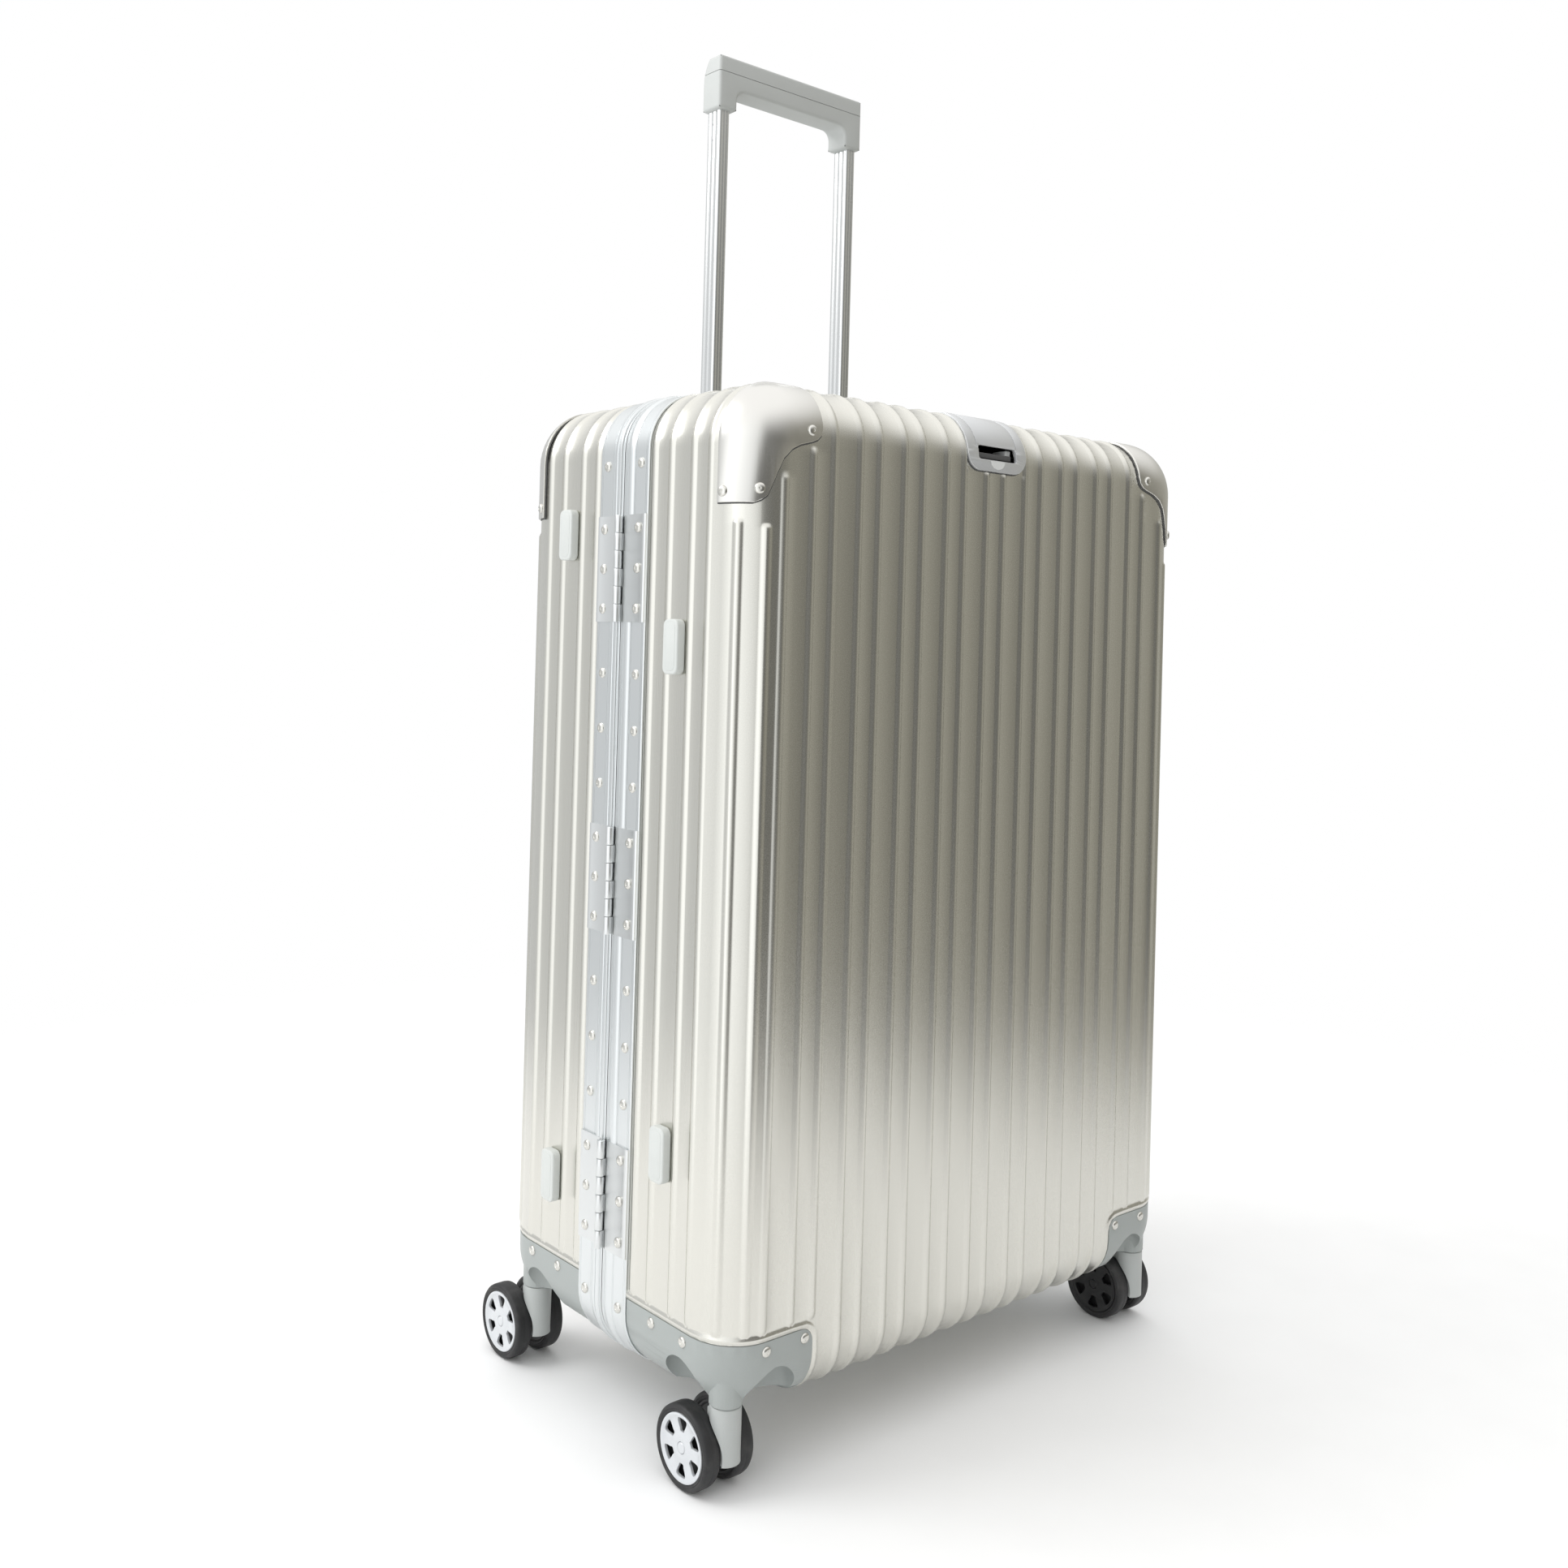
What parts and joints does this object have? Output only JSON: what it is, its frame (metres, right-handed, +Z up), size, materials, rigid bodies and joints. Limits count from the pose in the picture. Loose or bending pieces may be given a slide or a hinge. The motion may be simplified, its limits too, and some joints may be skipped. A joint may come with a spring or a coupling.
{
  "type": "hard shell suitcase",
  "caption": "Hard shell suitcase in two ribbed aluminium halves, hinged at one side, with a telescoping trolley, carry handles, latches and twin-wheel casters.",
  "frame": {"origin": "centre of the bounding box on the floor, under the standing case", "axes": "+Z up, X across the case with the hinges on the -X side, -Y out of the lid half, +Y out of the trolley half"},
  "size_m": [0.5363, 0.3239, 1.1233],
  "materials": {
    "shell_aluminium": "satin champagne silver, ribbed sheet",
    "frame_aluminium": "anodised extrusion, fine lengthwise lines",
    "guard_aluminium": "smooth satin pressing",
    "housing_plastic": "moulded, light sheen",
    "rivet_metal": "domed, satin",
    "hinge_metal": "rolled leaf, satin",
    "pin_steel": "turned",
    "foot_plastic": "moulded, matt",
    "tube_aluminium": "anodised fluted tube",
    "grip_plastic": "moulded, matt",
    "fitting_plastic": "moulded, matt",
    "latch_metal": "satin chrome",
    "holder_metal": "painted silver grey",
    "dark_plastic": "moulded",
    "lining_fabric": "quilted polyester",
    "strap_fabric": "woven webbing",
    "divider_fabric": "mesh with zip",
    "seal_rubber": "extruded",
    "fork_plastic": "moulded, light sheen",
    "tyre_rubber": "moulded rubber",
    "rim_plastic": "moulded"
  },
  "bodies": {
    "rear_half": {"rear_shell": "shell_aluminium", "rear_frame": "frame_aluminium", "frame_seal": "seal_rubber", "rear_corner_guards": "guard_aluminium", "rear_wheel_housings": "housing_plastic", "rear_rivets": "rivet_metal", "hinge_leaves_rear": "hinge_metal", "hinge_pins": "pin_steel", "rear_feet": "foot_plastic", "trolley_outer_tubes": "tube_aluminium", "trolley_bezel": "fitting_plastic", "top_handle_mounts": "fitting_plastic", "side_handle_mounts": "fitting_plastic", "latch_bases": "latch_metal", "rear_lining": "lining_fabric", "pack_straps": "strap_fabric"},
    "lid": {"front_shell": "shell_aluminium", "front_frame": "frame_aluminium", "front_corner_guards": "guard_aluminium", "front_wheel_housings": "housing_plastic", "front_rivets": "rivet_metal", "hinge_leaves_front": "hinge_metal", "front_feet": "foot_plastic", "latch_keepers": "latch_metal", "bag_holder_plate": "holder_metal", "front_lining": "lining_fabric", "front_divider": "divider_fabric"},
    "trolley_middle": {"trolley_middle_tubes": "tube_aluminium"},
    "trolley_handle": {"trolley_inner_tubes": "tube_aluminium", "trolley_grip": "grip_plastic"},
    "release_button": {"trolley_button": "fitting_plastic"},
    "top_carry_handle": {"top_handle_grip": "grip_plastic"},
    "side_carry_handle": {"side_handle_grip": "grip_plastic"},
    "upper_latch": {"latch_lever_upper": "latch_metal"},
    "lower_latch": {"latch_lever_lower": "latch_metal"},
    "bag_hook": {"bag_holder_hook": "dark_plastic"},
    "rear_left_caster": {"rear_left_fork": "fork_plastic", "rear_left_axle": "pin_steel"},
    "rear_left_outer_wheel": {"rear_left_tyre_outer": "tyre_rubber", "rear_left_rim_outer": "rim_plastic"},
    "rear_left_inner_wheel": {"rear_left_tyre_inner": "tyre_rubber", "rear_left_rim_inner": "rim_plastic"},
    "rear_right_caster": {"rear_right_fork": "fork_plastic", "rear_right_axle": "pin_steel"},
    "rear_right_outer_wheel": {"rear_right_tyre_outer": "tyre_rubber", "rear_right_rim_outer": "rim_plastic"},
    "rear_right_inner_wheel": {"rear_right_tyre_inner": "tyre_rubber", "rear_right_rim_inner": "rim_plastic"},
    "front_left_caster": {"front_left_fork": "fork_plastic", "front_left_axle": "pin_steel"},
    "front_left_outer_wheel": {"front_left_tyre_outer": "tyre_rubber", "front_left_rim_outer": "rim_plastic"},
    "front_left_inner_wheel": {"front_left_tyre_inner": "tyre_rubber", "front_left_rim_inner": "rim_plastic"},
    "front_right_caster": {"front_right_fork": "fork_plastic", "front_right_axle": "pin_steel"},
    "front_right_outer_wheel": {"front_right_tyre_outer": "tyre_rubber", "front_right_rim_outer": "rim_plastic"},
    "front_right_inner_wheel": {"front_right_tyre_inner": "tyre_rubber", "front_right_rim_inner": "rim_plastic"}
  },
  "joints": [
    {"name": "lid_hinge", "type": "hinge", "parent": "rear_half", "child": "lid", "pos_m": [-0.2605, -0.01355, 0.419], "axis": [0, 0, -1], "range_deg": [0, 180]},
    {"name": "trolley_middle_slide", "type": "slide", "parent": "rear_half", "child": "trolley_middle", "axis": [0, 0, 1], "range_m": [0, 0.15]},
    {"name": "trolley_inner_slide", "type": "slide", "parent": "trolley_middle", "child": "trolley_handle", "axis": [0, 0, -1], "range_m": [0, 0.287]},
    {"name": "trolley_button_press", "type": "slide", "parent": "trolley_handle", "child": "release_button", "axis": [0, 0, -1], "range_m": [0, 0.003], "stiffness_N_per_m": 400},
    {"name": "top_handle_lift", "type": "slide", "parent": "rear_half", "child": "top_carry_handle", "axis": [0, 0, 1], "range_m": [0, 0.02], "stiffness_N_per_m": 60},
    {"name": "side_handle_lift", "type": "slide", "parent": "rear_half", "child": "side_carry_handle", "axis": [1, 0, 0], "range_m": [0, 0.02], "stiffness_N_per_m": 60},
    {"name": "upper_latch_turn", "type": "hinge", "parent": "rear_half", "child": "upper_latch", "pos_m": [0.2617, 0.01145, 0.589], "axis": [0, 0, 1], "range_deg": [0, 100]},
    {"name": "lower_latch_turn", "type": "hinge", "parent": "rear_half", "child": "lower_latch", "pos_m": [0.2617, 0.01145, 0.249], "axis": [0, 0, 1], "range_deg": [0, 100]},
    {"name": "bag_hook_slide", "type": "slide", "parent": "lid", "child": "bag_hook", "axis": [0, -1, 0], "range_m": [0, 0.022]},
    {"name": "rear_left_swivel", "type": "hinge", "parent": "rear_half", "child": "rear_left_caster", "pos_m": [-0.234, 0.10945, 0.0588], "axis": [0, 0, 1], "continuous": true},
    {"name": "rear_left_outer_spin", "type": "hinge", "parent": "rear_left_caster", "child": "rear_left_outer_wheel", "pos_m": [-0.249, 0.13175, 0.0294], "axis": [1, 0, 0], "continuous": true},
    {"name": "rear_left_inner_spin", "type": "hinge", "parent": "rear_left_caster", "child": "rear_left_inner_wheel", "pos_m": [-0.219, 0.13175, 0.0294], "axis": [1, 0, 0], "continuous": true},
    {"name": "rear_right_swivel", "type": "hinge", "parent": "rear_half", "child": "rear_right_caster", "pos_m": [0.234, 0.10945, 0.0588], "axis": [0, 0, 1], "continuous": true},
    {"name": "rear_right_outer_spin", "type": "hinge", "parent": "rear_right_caster", "child": "rear_right_outer_wheel", "pos_m": [0.249, 0.13175, 0.0294], "axis": [1, 0, 0], "continuous": true},
    {"name": "rear_right_inner_spin", "type": "hinge", "parent": "rear_right_caster", "child": "rear_right_inner_wheel", "pos_m": [0.219, 0.13175, 0.0294], "axis": [1, 0, 0], "continuous": true},
    {"name": "front_left_swivel", "type": "hinge", "parent": "lid", "child": "front_left_caster", "pos_m": [-0.234, -0.13655, 0.0588], "axis": [0, 0, 1], "continuous": true},
    {"name": "front_left_outer_spin", "type": "hinge", "parent": "front_left_caster", "child": "front_left_outer_wheel", "pos_m": [-0.249, -0.11425, 0.0294], "axis": [1, 0, 0], "continuous": true},
    {"name": "front_left_inner_spin", "type": "hinge", "parent": "front_left_caster", "child": "front_left_inner_wheel", "pos_m": [-0.219, -0.11425, 0.0294], "axis": [1, 0, 0], "continuous": true},
    {"name": "front_right_swivel", "type": "hinge", "parent": "lid", "child": "front_right_caster", "pos_m": [0.234, -0.13655, 0.0588], "axis": [0, 0, 1], "continuous": true},
    {"name": "front_right_outer_spin", "type": "hinge", "parent": "front_right_caster", "child": "front_right_outer_wheel", "pos_m": [0.249, -0.11425, 0.0294], "axis": [1, 0, 0], "continuous": true},
    {"name": "front_right_inner_spin", "type": "hinge", "parent": "front_right_caster", "child": "front_right_inner_wheel", "pos_m": [0.219, -0.11425, 0.0294], "axis": [1, 0, 0], "continuous": true}
  ]
}
